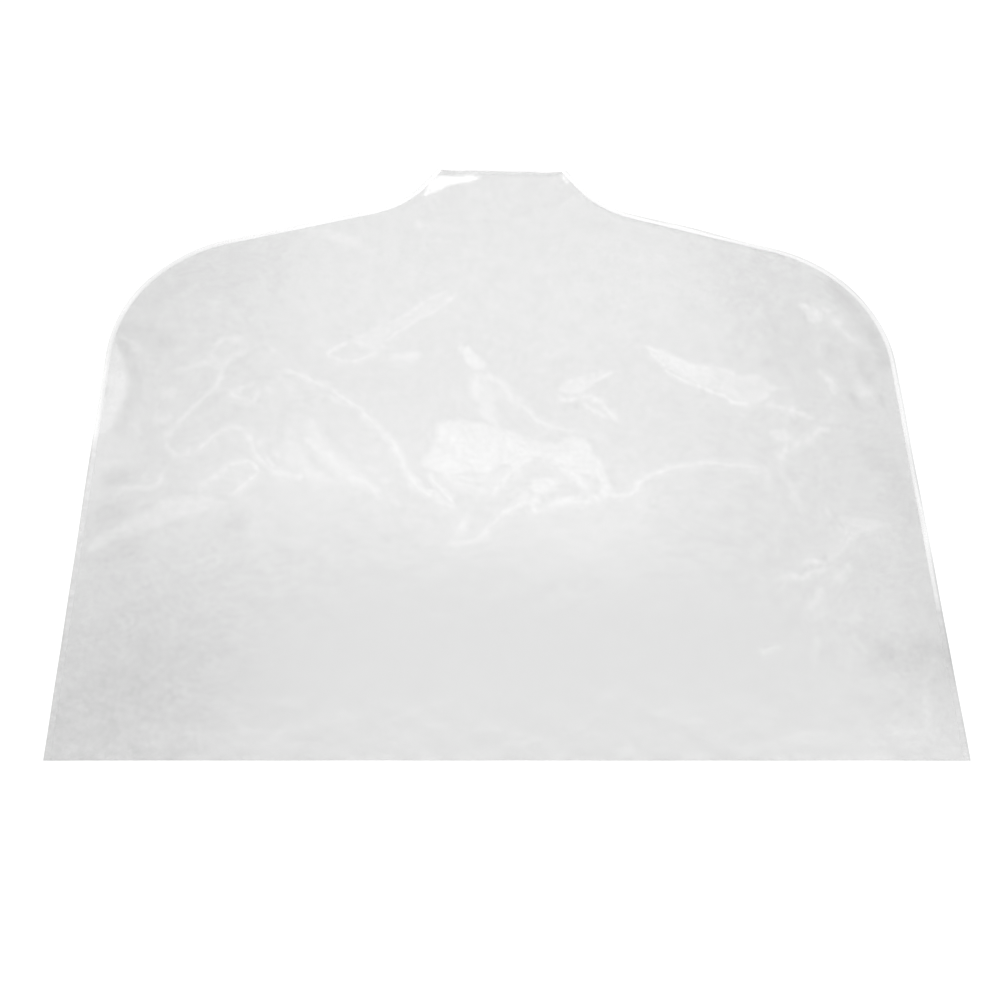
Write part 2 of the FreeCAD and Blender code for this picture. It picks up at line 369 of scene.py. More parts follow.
MOTTLE_LEAST, MOTTLE_USUAL, MOTTLE_IN_SHADE = 0.35, 0.55, 0.45  # the last is what a place of full painted shade adds


def unit(angle):
    """Direction at this many degrees from +X."""
    return np.array([math.cos(math.radians(angle)), math.sin(math.radians(angle))])


def crossing(point_a, along_a, point_b, along_b):
    """Where two lines in the plane cross."""
    sides = np.array([along_a, -along_b]).T
    return point_a + np.linalg.solve(sides, point_b - point_a)[0] * along_a


def fillet(corner, arriving, leaving, radius, count):
    """Points of the arc that rounds a corner between two unit directions."""
    half_turn = math.acos(float(np.clip(arriving @ leaving, -1, 1))) / 2
    start = corner - arriving * radius * math.tan(half_turn)
    bisector = (leaving - arriving) / np.linalg.norm(leaving - arriving)
    centre = corner + bisector * radius / math.cos(half_turn)
    spoke = start - centre
    side = arriving * radius
    turns = np.linspace(0, 2 * half_turn, count)[:, None]
    return centre + spoke * np.cos(turns) + side * np.sin(turns)


def right_edge(inset, step):
    """Points of the right-hand edge from the hem to the neck, moved in by inset, about a step apart.

    The count of points doesn't depend on the inset, so that edges at two insets pair up."""
    rise, slope, up = unit(180 - NECK_RISE_ANGLE), unit(180 - SHOULDER_SLOPE), unit(90)
    level = unit(0)
    side_point = np.array([HALF_WIDTH - inset, 0])
    shoulder_point = np.array([HALF_NECK, NECK_Y - SHOULDER_DROP]) - unit(90 - SHOULDER_SLOPE) * inset
    neck_point = np.array([HALF_NECK, NECK_Y]) - unit(90 - NECK_RISE_ANGLE) * inset
    shoulder_corner = crossing(side_point, up, shoulder_point, slope)
    neck_corner = crossing(shoulder_point, slope, neck_point, rise)
    hem_end = crossing(side_point, up, np.array([0, HEM_Y]), level)
    neck_end = crossing(neck_point, rise, np.array([0, NECK_Y]), level)
    corner_count = round(CORNER_RADIUS * math.radians(90 - SHOULDER_SLOPE) / step)
    neck_count = round(NECK_FILLET * math.radians(NECK_RISE_ANGLE - SHOULDER_SLOPE) / step)
    corner = fillet(shoulder_corner, up, slope, CORNER_RADIUS - inset, corner_count)
    hollow = fillet(neck_corner, slope, rise, NECK_FILLET + inset, neck_count)
    runs = (
        (hem_end, corner[0], SIDE_RUN),
        (corner[-1], hollow[0], SHOULDER_RUN),
        (hollow[-1], neck_end, NECK_RUN),
    )
    side, shoulder, riser = (
        np.linspace(start, end, max(3, round(length / step))) for start, end, length in runs
    )
    return np.concatenate([side[:-1], corner, shoulder[1:-1], hollow, riser[1:]])


def smooth_line(points, closed=False, steps=6):
    """Catmull-Rom curve in metres through these points in millimetres."""
    points = np.array(points) / 1000
    if closed:
        padded = np.concatenate([points[-1:], points, points[:2]])
    else:
        padded = np.concatenate([2 * points[:1] - points[1:2], points, 2 * points[-1:] - points[-2:-1]])
    t = np.linspace(0, 1, steps, endpoint=False)[:, None]
    spans = [
        0.5 * (2 * b + (c - a) * t + (2 * a - 5 * b + 4 * c - d) * t**2 + (3 * b - a - 3 * c + d) * t**3)
        for a, b, c, d in zip(padded, padded[1:], padded[2:], padded[3:])
    ]
    return np.concatenate(spans + [padded[-2:-1]])


def nearest(points, line, reach):
    """For the points within reach of a polyline: their indices, distances and places along it."""
    low, high = line.min(0) - reach, line.max(0) + reach
    near = np.nonzero(((points > low) & (points < high)).all(1))[0]
    start, run = line[:-1], np.diff(line, axis=0)
    length = np.maximum(np.linalg.norm(run, axis=1), 1e-9)
    passed = np.concatenate([[0], np.cumsum(length)[:-1]])
    found, off, along = [], [], []
    for block in np.array_split(near, len(near) // BLOCK + 1):
        gap = points[block, None] - start
        share = np.clip((gap * run).sum(2) / length**2, 0, 1)
        distance = np.linalg.norm(gap - share[..., None] * run, axis=2)
        best = distance.argmin(1)
        row = np.arange(len(block))
        close = distance[row, best] < reach
        found.append(block[close])
        off.append(distance[row, best][close])
        along.append((passed[best] + share[row, best] * length[best])[close])
    return np.concatenate(found), np.concatenate(off), np.concatenate(along)


def inside(points, loop):
    """Whether each point is inside a closed loop."""
    crossings = np.zeros(len(points), int)
    for a, b in zip(loop, np.roll(loop, -1, axis=0)):
        spans = (a[1] > points[:, 1]) != (b[1] > points[:, 1])
        if a[1] != b[1]:
            x = a[0] + (points[:, 1] - a[1]) * (b[0] - a[0]) / (b[1] - a[1])
            crossings += spans & (points[:, 0] < x)
    return crossings % 2 == 1


def smoothstep(low, high, value):
    t = np.clip((value - low) / (high - low), 0, 1)
    return t * t * (3 - 2 * t)


def waves(x, y, seed, wavelength, count=14):
    """Smooth random field, mostly between -1 and 1, of plane waves 0.7 to 1.5 times this long."""
    rng = np.random.default_rng(seed)
    total = np.zeros_like(x)
    for _ in range(count):
        heading, phase = rng.uniform(0, 2 * math.pi, 2)
        pitch = wavelength * rng.uniform(0.7, 1.5)
        travel = x * math.cos(heading) + y * math.sin(heading)
        total += np.sin(2 * math.pi * travel / pitch + phase)
    return total / math.sqrt(count)


SEAM_LINE = right_edge(SEAM_WIDTH, 3 * MM)
SEAM_TRAVEL = np.concatenate([[0], np.cumsum(np.linalg.norm(np.diff(SEAM_LINE, axis=0), axis=1))])


def from_seam(points):
    """Distance of each point from the nearer seam's inner edge, and how far along the seam it is."""
    mirrored = np.abs(points) * [1, 0] + points * [0, 1]
    distance, travel = np.zeros(len(points)), np.zeros(len(points))
    for block in np.array_split(np.arange(len(points)), len(points) // BLOCK + 1):
        gaps = np.linalg.norm(mirrored[block, None] - SEAM_LINE, axis=2)
        distance[block], travel[block] = gaps.min(1), SEAM_TRAVEL[gaps.argmin(1)]
    return distance, travel


def back_height(points):
    """Underside of the back panel, which lies almost flat."""
    share, seed, wavelength = BACK_WAVE
    return BACK_LIFT * np.maximum(LEAST_LIFT, 1 + share * waves(*points.T, seed, wavelength))


def taper(along, length):
    """Full height along a crease, fading near its ends."""
    fade = min(CREASE_END * length, CREASE_FADE)
    return CREASE_END + (1 - CREASE_END) * smoothstep(0, fade, np.minimum(along, length - along))


def clinging(points):
    """Where the panels cling together, and how clear the film is there, with the painted glints below
    the neck edge.
    """
    clear, cling = np.zeros(len(points)), np.zeros(len(points))
    share, seed, wavelength = PATCH_WAVE
    blotched = 1 + share * waves(*points.T, seed, wavelength)
    for outline, softness, amount in PATCHES:
        loop = smooth_line(outline, closed=True)
        reach = max(softness * MM, CLING_REACH)
        index, off, _ = nearest(points, loop, reach)
        low, high = loop.min(0), loop.max(0)
        boxed = np.nonzero(((points > low) & (points < high)).all(1))[0]
        signed = np.full(len(points), -reach)
        within = np.zeros(len(points), bool)
        within[boxed] = inside(points[boxed], loop[:-1])
        signed[within] = reach
        signed[index] = np.where(within[index], off, -off)
        clear = np.maximum(clear, amount * blotched * smoothstep(-softness * MM, softness * MM, signed))
        cling = np.maximum(cling, smoothstep(-reach, reach, signed))
    return clear, cling


def creased(points):
    """Height of the creases above the film around them, and their painted highlights, given as extra
    clearness of the film.
    """
    clear, crest = np.zeros(len(points)), np.zeros(len(points))
    for number, (line, width, amount) in enumerate(CREASES):
        curve = smooth_line(line)
        length = np.linalg.norm(np.diff(curve, axis=0), axis=1).sum()
        index, off, along = nearest(points, curve, CREASE_REACH * width * MM + 2 * FEATHER)
        change = sum(
            share * waves(along, along * 0, seed + number, wavelength, count=4)
            for share, seed, wavelength in CREASE_WAVES
        )
        strength = taper(along, length) * (1 + change)
        bead = np.exp(-((off / (width * MM)) ** 2)) * strength
        height = STEEPNESS * (0.5 + amount) * width * MM
        # painted highlight along the crease, a little wider than its bead
        glow = np.exp(-((off / (SPREAD * width * MM + FEATHER)) ** 2)) * strength
        clear[index] = np.maximum(clear[index], CREST * amount * glow)
        crest[index] = np.maximum(crest[index], height * bead)
    return clear, crest


def shaded(points):
    """Painted shade on the film, or painted light where negative."""
    painted_shading = np.zeros(len(points))
    for line, width, amount in SHADES:
        curve = smooth_line(line)
        index, off, _ = nearest(points, curve, SHADE_REACH * width * MM)
        painted_shading[index] += amount * np.exp(-((off / (width * MM)) ** 2))
    return painted_shading


def front_state(points):
    """Underside of the front panel, with how clear the film is (with its painted highlights and glints),
    its painted shading and how mottled it is.
    """
    x, y = points.T
    wander = np.column_stack([waves(x, y, seed, WANDER_LENGTH, count=8) for seed in (21, 22)])
    wandered = points + WANDER * wander
    patch_clear_and_glint, cling = clinging(wandered)
    crease_highlight, crest = creased(wandered)
    # clearness of the cling patches, with the painted highlights of the creases and the painted glints
    # at the neck
    clear = np.maximum(patch_clear_and_glint, crease_highlight)

    off_seam, travel = from_seam(points)
    opening = 1 - np.exp(-((off_seam / LOFT_REACH) ** LOFT_POWER))
    swell = 1 + sum(share * waves(x, y, seed, wavelength) for share, seed, wavelength in LOFT_WAVES)
    gap = LOFT * opening * np.maximum(swell, LEAST_LOFT) * (1 - CLING_CLOSES * cling)

    side = np.where(x > 0, 5.0, 6.0)  # gives the two seams different puckers
    share, seed, wavelength = PUCKER_PATCHES
    pucker_size = np.maximum(0, 1 - share + share * waves(travel, side, seed, wavelength))
    shift, seed, wavelength = PUCKER_SHIFTS
    shifts = shift * waves(travel, side, seed, wavelength)
    puckers = np.sin(2 * math.pi * travel / PUCKER_PITCH + shifts)
    pucker_fade = np.exp(-off_seam / PUCKER_REACH) * smoothstep(0, PUCKER_START, off_seam)
    gap += PUCKER_HEIGHT * pucker_size * puckers**2 * pucker_fade

    mouth = smoothstep(NECK_Y - NECK_REACH, NECK_Y, y) * smoothstep(0, MOUTH_REACH, off_seam)
    gap += NECK_MOUTH * mouth + crest * smoothstep(0, CREASE_START, off_seam)

    off_centre = np.linalg.norm((points - SMOOTH_CENTRE) * SMOOTH_SQUASH, axis=1) / SMOOTH_RADIUS
    # painted shade, and painted light where negative
    painted_shading = shaded(wandered)
    mottled = smoothstep(MOTTLE_STARTS, MOTTLE_FULL, off_centre)
    mottled *= np.maximum(MOTTLE_LEAST, MOTTLE_USUAL + MOTTLE_IN_SHADE * painted_shading)
    return back_height(points) + FILM + LAYER_GAP + gap, clear, painted_shading, mottled


def neck_dip(points):
    """How far the front film has slipped down from the neck edge."""
    x, y = points.T
    across = 1 - smoothstep(NECK_HOLD, 1, np.abs(x) / HALF_NECK)
    return NECK_DIP * across * smoothstep(NECK_Y - NECK_REACH, NECK_Y, y)


def mesh_object(name, vertices, faces, attributes, material):
    """Mesh object with smooth shading, sharp folds and one number per vertex for each attribute."""
    mesh = bpy.data.meshes.new(name)
    mesh.from_pydata([tuple(v) for v in vertices], [], [tuple(int(i) for i in f) for f in faces])
    for key, values in attributes.items():
        data = mesh.attributes.new(key, "FLOAT", "POINT").data
        data.foreach_set("value", np.asarray(values, np.float32))
    mesh.polygons.foreach_set("use_smooth", np.ones(len(mesh.polygons), bool))
    mesh.set_sharp_from_angle(angle=math.radians(SHARP))
    mesh.validate()
    mesh.materials.append(material)
    piece = bpy.data.objects.new(name, mesh)
    bpy.context.scene.collection.objects.link(piece)
    return piece


def lattice(low, high, spacing):
    """Grid points between two corners, on a grid that all spacings share."""
    columns = np.arange(math.ceil(low[0] / spacing), math.floor(high[0] / spacing) + 1)
    lines = np.arange(math.ceil(low[1] / spacing), math.floor(high[1] / spacing) + 1)
    return np.stack(np.meshgrid(columns, lines), axis=-1).reshape(-1, 2) * spacing


def lattice_along(curve, spacing, reach):
    """Grid points within reach of a curve."""
    grid = lattice(curve.min(0) - reach, curve.max(0) + reach, spacing)
    return grid[nearest(grid, curve, reach)[0]]


def panel_layout(detailed):
    """Plane points, triangles and border of a panel, with a finer mesh near creases if detailed."""
    right = right_edge(SEAM_WIDTH, MEDIUM)
    left = right[::-1] * [-1, 1]
    neck_count = round(2 * right[-1, 0] / MEDIUM)
    hem_count = round(2 * right[0, 0] / MEDIUM)
    neck = np.linspace(right[-1], left[0], neck_count)[1:-1]
    hem = np.linspace(left[-1], right[0], hem_count)[1:-1]
    loop = np.concatenate([right, neck, left, hem])
    rows = [row for off in EDGE_ROWS for row in (hem + [0, off], neck - [0, off])]
    grids = [lattice(np.array([-HALF_WIDTH, HEM_Y]), np.array([HALF_WIDTH, NECK_Y]), COARSE)]
    if detailed:
        for line, width, _ in CREASES:
            curve = smooth_line(line)
            grids.append(lattice_along(curve, MEDIUM, MEDIUM_REACH * width * MM))
            if width * MM < THIN:
                grids.append(lattice_along(curve, FINE, FINE_REACH * width * MM))
        for outline, softness, _ in PATCHES:
            loop_curve = smooth_line(outline, closed=True)
            grids.append(lattice_along(loop_curve, MEDIUM, (softness + PATCH_MARGIN) * MM))
        grids += [lattice_along(SEAM_LINE * [sign, 1], MEDIUM, SEAM_MARGIN) for sign in (-1, 1)]
        neck_corner = np.array([HALF_NECK, NECK_Y])
        grids.append(lattice(np.array([-HALF_NECK, NECK_Y - NECK_MARGIN]), neck_corner, MEDIUM))
    free = np.concatenate(grids)
    limit = np.interp(free[:, 1], right[:, 1], right[:, 0])
    inner = (free[:, 1] > HEM_Y + CLEAR_OF_EDGE) & (free[:, 1] < NECK_Y - CLEAR_OF_EDGE)
    free = free[(np.abs(free[:, 0]) < limit) & inner]
    free = free[np.unique(np.round(free / SAME_POINT), axis=0, return_index=True)[1]]
    free = free[from_seam(free)[0] > CLEAR_OF_SEAM]
    points = np.concatenate([loop, *rows, free])
    ring = [(i, (i + 1) % len(loop)) for i in range(len(loop))]
    made = delaunay_2d_cdt([Vector(p) for p in points], ring, [], KEEP_INSIDE, TOLERANCE)
    plane = np.array([tuple(v) for v in made[0]])
    return plane, np.array(made[2]), np.arange(len(loop))


def film_solid(name, plane, faces, border, underside, attributes, material):
    """Closed sheet of film: the faces at the underside's height, the same again above, and a rim.

    The faces and the border run anticlockwise, seen from above."""
    count = len(plane)
    lower = np.column_stack([plane, underside])
    vertices = np.concatenate([lower, lower + [0, 0, FILM]])
    after = np.roll(border, -1)
    rim = np.column_stack([border, after, after + count, border + count])
    doubled = {key: np.tile(values, 2) for key, values in attributes.items()}
    faces = [*faces[:, ::-1], *(faces + count), *rim]
    return mesh_object(name, vertices, faces, doubled, material)


def plane_area(plane, triangles):
    a, b, c = (plane[triangles[:, i]] for i in range(3))
    return float(np.abs(np.cross(b - a, c - a)).sum() / 2)


def make_panel(name, is_front, material):
    """A panel of film, and its area flat."""
    plane, triangles, border = panel_layout(detailed=is_front)
    area = plane_area(plane, triangles)
    height, clear, painted_shading, mottled = front_state(plane)
    if is_front:
        plane[:, 1] -= neck_dip(plane)
    else:
        height, clear = back_height(plane), np.zeros(len(plane))
    attributes = {"clear": clear, "painted_shading": painted_shading, "mottled": mottled}
    return film_solid(name, plane, triangles, border, height, attributes, material), area


def make_band(name, is_front, material):
    """Strip sealed to the inside of a panel, along its neck edge."""
    columns = np.linspace(-BAND_HALF_WIDTH, BAND_HALF_WIDTH, BAND_COLUMNS)
    rows = NECK_Y - np.array(BAND_ROWS) / BAND_ROWS[-1] * BAND_WIDTH
    plane = np.stack(np.meshgrid(columns, rows), axis=-1).reshape(-1, 2)
    index = np.arange(len(plane)).reshape(len(rows), len(columns))
    corners = (index[1:, :-1], index[1:, 1:], index[:-1, 1:], index[:-1, :-1])
    quads = np.stack([c.ravel() for c in corners], axis=1)
    border = np.concatenate([index[-1, :-1], index[:0:-1, -1], index[0, :0:-1], index[:-1, 0]])
    depth = NECK_Y - plane[:, 1]
    if is_front:
        height, *_ = front_state(plane)
        underside = height - FILM - LAYER_GAP
        plane[:, 1] -= neck_dip(plane)
    else:
        underside = back_height(plane) + FILM + LAYER_GAP
    return film_solid(name, plane, quads, border, underside, {"depth": depth}, material)


# Heat seal, from its cut edge inwards: distance, top, underside, share of the ribs' height
SEAL_PROFILE = (
    (0.0, 0.20, 0.20, 0),
    (0.15, 0.42, 0.0, 0),
    (0.6, 0.55, 0.0, 0),
    (1.1, 0.42, 0.0, 0),
    (1.6, 0.26, 0.0, 0.2),
    (2.6, 0.24, 0.0, 1),
    (4.2, 0.24, 0.0, 1),
    (6.0, 0.24, 0.0, 1),
    (7.4, 0.24, 0.0, 1),
    (8.5, 0.26, 0.0, 0),
    (9.3, 0.26, 0.0, 0),
    (10.0, 0.26, 0.0, 0),
)
RIB_HEIGHT = 0.10 * MM  # cross ribs
RIB_PITCH = 6 * MM
RIB_STEPS = 4  # points along each rib
CURL = 1.6 * MM  # how far the seal's cut edge usually lifts, at most about twice this
CURL_WAVE = (0.8, 11, 0.22)
LEAST_CURL = 0.1 * MM
# How a seal looks, on the left (-1) and on the right (1) where those differ. Places and wavelengths
# along it are shares of its length, from the hem to the neck.
# A seal's white is painted sheen, given as milkier and clearer film, brightest on the shoulders.
SEAL_FADE = {-1: 0.37, 1: 0.2}  # where it turns from clear to white with painted sheen
FADE_BEFORE, FADE_AFTER = 0.05, 0.02  # how far around that place it turns
FADE_WAVE = (0.015, 12, 0.05)
WHITE_SIDE = {-1: 0.6, 1: 0.62}  # how white with painted sheen the side and the corner get, as a share of the shoulder
WHITE_GROWS = (0.68, 0.8)  # where it gets as white as the shoulder
SHOULDER_WHITE = 0.92
WHITE_WAVE = (0.06, 14, 0.04)
EDGE_LINE = {-1: 0.1, 1: 0.6}  # how dark the painted shade along the cut edge is
LINE_WAVE = (0.5, 13, 0.12)
CLEAR_LINE = 0.3  # share of that darkness where the seal is clear
LINE_FADE = (1.2, 4.5)  # millimetres from the cut edge in which it fades
STREAK = 0.5  # how dark the streak along the inner edge looks
STREAK_WAVE = {-1: (0.5, 14, 0.08), 1: (0.5, 16, 0.08)}
STREAK_RISE = (3.0, 9.0)  # millimetres from the cut edge in which it rises


def uneven(along, share, seed, wavelength):
    """Random unevenness along a line, of about this share."""
    return share * waves(along, along * 0, seed, wavelength)


def make_seal(name, sign, first, last, edges, travel, material):
    """One stretch of the fused margin, as a ribbon with a rolled cut edge and cross ribs."""
    top, bottom = [], []
    span = slice(first, last)
    ribs = RIB_HEIGHT * np.sin(2 * math.pi * travel[span] / RIB_PITCH)
    share, seed, wavelength = CURL_WAVE
    lift = CURL * (1 + share * waves(travel[span], np.full(last - first, sign * 1.0), seed, wavelength))
    for (inset, upper, lower, rib_share), edge in zip(SEAL_PROFILE, edges):
        place = edge[span] * [sign, 1]
        curled = np.maximum(lift, LEAST_CURL) * (1 - inset / SEAL_PROFILE[-1][0]) ** 2
        level = back_height(place) + curled + ribs * rib_share
        top.append(np.column_stack([place, level + upper * MM]))
        bottom.append(np.column_stack([place, level + lower * MM]))
    section = top + bottom[:0:-1]
    vertices = np.stack(section, axis=1)
    stations, around = vertices.shape[:2]
    index = np.arange(stations * around).reshape(stations, around)
    beside = np.roll(index, -1, axis=1)
    quads = np.stack([index[:-1], beside[:-1], beside[1:], index[1:]], axis=-1).reshape(-1, 4)
    faces = [*quads, index[0][::-1], index[-1]]
    if sign < 0:
        faces = [face[::-1] for face in faces]

    profile = np.array([inset for inset, *_ in SEAL_PROFILE])
    depth = np.tile(np.concatenate([profile, profile[:0:-1]]), stations)
    along = travel[span] / travel[-1]
    shifted = along + uneven(along, *FADE_WAVE)
    # white: painted sheen on the seal, rising from the hem towards the shoulders
    white = smoothstep(SEAL_FADE[sign] - FADE_BEFORE, SEAL_FADE[sign] + FADE_AFTER, shifted)
    white *= WHITE_SIDE[sign] + (1 - WHITE_SIDE[sign]) * smoothstep(*WHITE_GROWS, along)
    white *= SHOULDER_WHITE + uneven(along, *WHITE_WAVE)
    # painted shade of the film beside the seal, and painted light where negative
    painted_shading = shaded(edges[0][span] * [sign, 1])
    # painted shade along the cut edge, weaker where the seal is clear
    line = np.clip(EDGE_LINE[sign] + uneven(along, *LINE_WAVE), 0, 1)
    line = np.repeat(line * (CLEAR_LINE + (1 - CLEAR_LINE) * white), around)
    line *= 1 - smoothstep(*LINE_FADE, depth)
    streak = np.clip(STREAK + uneven(along, *STREAK_WAVE[sign]), 0, 1)
    streak = np.repeat(streak * white, around) * smoothstep(*STREAK_RISE, depth)
    attributes = {
        "line": line,
        "streak": streak,
        "white": np.repeat(white, around),
        "painted_shading": np.repeat(painted_shading, around),
    }
    return mesh_object(name, vertices.reshape(-1, 3), faces, attributes, material)


def make_seals(material):
    """The four stretches of the fused margin, split where each side meets its shoulder corner."""
    step = RIB_PITCH / RIB_STEPS
    edges = [right_edge(inset * MM, step) for inset, *_ in SEAL_PROFILE]
    travel = np.concatenate([[0], np.cumsum(np.linalg.norm(np.diff(edges[0], axis=0), axis=1))])
    side_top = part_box("right_side_seam")[1].y
    split = int(np.abs(edges[0][:, 1] - side_top).argmin())
    made = []
    for half, sign in (("left", -1), ("right", 1)):
        for part, first, last in (("side", 0, split + 1), ("shoulder", split, len(travel))):
            seal = make_seal(f"{half}_{part}_seal", sign, first, last, edges, travel, material)
            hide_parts(f"{half}_{part}_seam")
            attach(seal, "root")
            made.append(seal)
    return made


MIRRORED_HEAD_ON = 0.037  # share of light that one face of the film mirrors, seen square on
WHITE = (1, 1, 1, 1)
# How many bumps of each noise pattern go into a metre
SPECKS, MOTTLING, CLOUDS = 110, 90, 22
SEAL_GRAIN, BAND_STREAKS = 420, 160
NOISE_LOW, NOISE_HIGH = 0.3, 0.7  # most of a noise pattern lies between these
SPECK_SHARES = (0.85, 1.15)  # what the specks multiply a clear place by
CLEAR_HAZE = 0.01  # of the clearest film
SEAL_HAZES = (0.04, 0.4)  # of a clear and a white seal
SEAL_PASSES = (0.82, 0.958)  # share of light that a clear and a white seal let through
BAND_PASSES = (0.982, 1.0)  # and that the greyest and clearest streaks of a band do
BAND_EDGE = (1 * MM, 2.5 * MM, 0.04, 0)  # here the neck edge's darkness fades from 0.04 to 0
BAND_GLOSS = 0.3  # share of the usual gloss


class Shader:
    """Short ways to make and join the nodes of one material."""

    def __init__(self, name):
        self.material = bpy.data.materials.new(name)
        self.material.use_nodes = True
        self.tree = self.material.node_tree
        self.tree.nodes.clear()

    def add(self, kind, settings=None, **inputs):
        """New node. A number, colour or socket goes to the input of that name, with _ for a space.

        The names i0, i1 and so on stand for the first input, the second and so on."""
        node = self.tree.nodes.new(kind)
        for key, value in (settings or {}).items():
            setattr(node, key, value)
        for key, value in inputs.items():
            which = int(key[1:]) if key[1:].isdigit() else key.replace("_", " ")
            self.feed(node.inputs[which], value)
        return node

    def feed(self, socket, value):
        if isinstance(value, bpy.types.NodeSocket):
            self.tree.links.new(value, socket)
        else:
            socket.default_value = value

    def attribute(self, name):
        return self.add("ShaderNodeAttribute", {"attribute_name": name}).outputs["Fac"]

    def math(self, operation, first, second):
        return self.add("ShaderNodeMath", {"operation": operation}, i0=first, i1=second).outputs[0]

    def plus(self, value, share, amount):
        """value + share * amount"""
        return self.math("ADD", value, self.math("MULTIPLY", amount, share))

    def ramp(self, value, low, high, to_low, to_high):
        """Maps value from one range to another, held at the ends."""
        node = self.add(
            "ShaderNodeMapRange", None,
            Value=value, From_Min=low, From_Max=high, To_Min=to_low, To_Max=to_high,
        )
        return node.outputs["Result"]

    def noise(self, scale, detail=2):
        place = self.add("ShaderNodeTexCoord").outputs["Object"]
        node = self.add("ShaderNodeTexNoise", None, Vector=place, Scale=scale, Detail=detail)
        return node.outputs["Fac"]

    def mix(self, factor, first, second):
        return self.add("ShaderNodeMixShader", None, i0=factor, i1=first, i2=second).outputs[0]

    def mirrored(self, **normal):
        """Share of the light that clear film mirrors, alike from both sides (Schlick's formula)."""
        facing = self.add("ShaderNodeLayerWeight", None, Blend=0.5, **normal).outputs["Facing"]
        return self.ramp(self.math("POWER", facing, 5.0), 0, 1, MIRRORED_HEAD_ON, 1)

    def film(self, passed, haze, mirrored, grey, roughness, gloss_roughness, **normal):
        """See-through film that lets the share "passed" of light through, under a haze and a gloss."""
        tint = self.add("ShaderNodeCombineColor", None, Red=passed, Green=passed, Blue=passed).outputs[0]
        see_through = self.add("ShaderNodeBsdfTransparent", None, Color=tint).outputs[0]
        surface = self.add(
            "ShaderNodeBsdfPrincipled", None,
            Base_Color=(grey, grey, grey, 1), Roughness=roughness, **normal,
        ).outputs[0]
        gloss = self.add(
            "ShaderNodeBsdfGlossy", None, Color=WHITE, Roughness=gloss_roughness, **normal
        ).outputs[0]
        return self.finish(self.mix(mirrored, self.mix(haze, see_through, surface), gloss))

    def finish(self, shader):
        self.add("ShaderNodeOutputMaterial", None, Surface=shader)
        return self.material


def film_look(name, pass_clear, pass_film, haze_film):
    """Clear film that darkens what is behind it a little, with a milky haze, gloss, mottling, painted
    shade and light, and painted highlights where its clearness rises.
    """
    shader = Shader(name)
    clear, painted_shading, mottled = (shader.attribute(key) for key in ("clear", "painted_shading", "mottled"))
    specks = shader.ramp(shader.noise(SPECKS, detail=1), NOISE_LOW, NOISE_HIGH, *SPECK_SHARES)
    clear = shader.math("MULTIPLY", clear, specks)
    blotches = shader.noise(MOTTLING)
    clouds = shader.noise(CLOUDS)
    patchy = shader.math("SUBTRACT", shader.math("ADD", blotches, clouds), 1.0)
    patchy = shader.math("MULTIPLY", patchy, mottled)
    # the clearness holds the painted highlights of the creases and the painted glints below the neck
    # edge, and lets more light through
    passed = shader.ramp(clear, 0, 1, pass_film, pass_clear)
    # painted shade lets less light through, and painted light where negative lets more through
    for share, amount in ((0.04, patchy), (-0.05, painted_shading)):
        passed = shader.plus(passed, share, amount)
    haze = shader.ramp(clear, 0, 1, haze_film, CLEAR_HAZE)
    bump = shader.add("ShaderNodeBump", None, Strength=0.2, Distance=0.01, Height=clouds)
    normal = bump.outputs["Normal"]
    mirrored = shader.mirrored(Normal=normal)
    return shader.film(
        passed, haze, mirrored, grey=0.87, roughness=0.45, gloss_roughness=0.28, Normal=normal
    )


def seal_look():
    """Fused film: white with painted sheen on the shoulders, clear down the sides, with painted shade
    darkening the rolled cut edge.
    """
    shader = Shader("fused_film")
    edge, streak, white, painted_shading = (shader.attribute(key) for key in ("line", "streak", "white", "painted_shading"))
    speckle = shader.math("SUBTRACT", shader.noise(SEAL_GRAIN), 0.5)
    mottling = shader.math("SUBTRACT", shader.noise(MOTTLING), 0.5)
    mottling = shader.math("MULTIPLY", mottling, shader.math("SUBTRACT", 1.0, white))
    haze = shader.plus(shader.ramp(white, 0, 1, *SEAL_HAZES), 0.06, speckle)
    haze = shader.math("MULTIPLY", haze, shader.math("SUBTRACT", 1.0, edge))
    # the painted sheen (white) makes the seal milkier and lets more light through
    passed = shader.ramp(white, 0, 1, *SEAL_PASSES)
    # painted shade and light of the film, grain, mottling, the streak and the painted shade along the
    # cut edge change what passes
    effects = ((-0.08, painted_shading), (0.04, speckle), (0.12, mottling), (-0.09, streak), (-0.2, edge))
    for share, amount in effects:
        passed = shader.plus(passed, share, amount)
    mirrored = shader.mirrored()
    return shader.film(passed, haze, mirrored, grey=0.9, roughness=0.35, gloss_roughness=0.22)


def band_look():
    """The doubled strip along the neck edge, a little greyer than the film."""
    shader = Shader("neck_fold_film")
    passed = shader.ramp(shader.noise(BAND_STREAKS, detail=3), NOISE_LOW, NOISE_HIGH, *BAND_PASSES)
    passed = shader.math("SUBTRACT", passed, shader.ramp(shader.attribute("depth"), *BAND_EDGE))
    mirrored = shader.math("MULTIPLY", shader.mirrored(), BAND_GLOSS)
    return shader.film(passed, 0.02, mirrored, grey=0.8, roughness=0.4, gloss_roughness=0.2)


FLOOR_REACH = 20  # metres to each side
FLOOR_DROP = 0.2 * MM  # keeps the floor clear of the film's lowest points
FLOOR_GLOW = 1.1  # a little over white
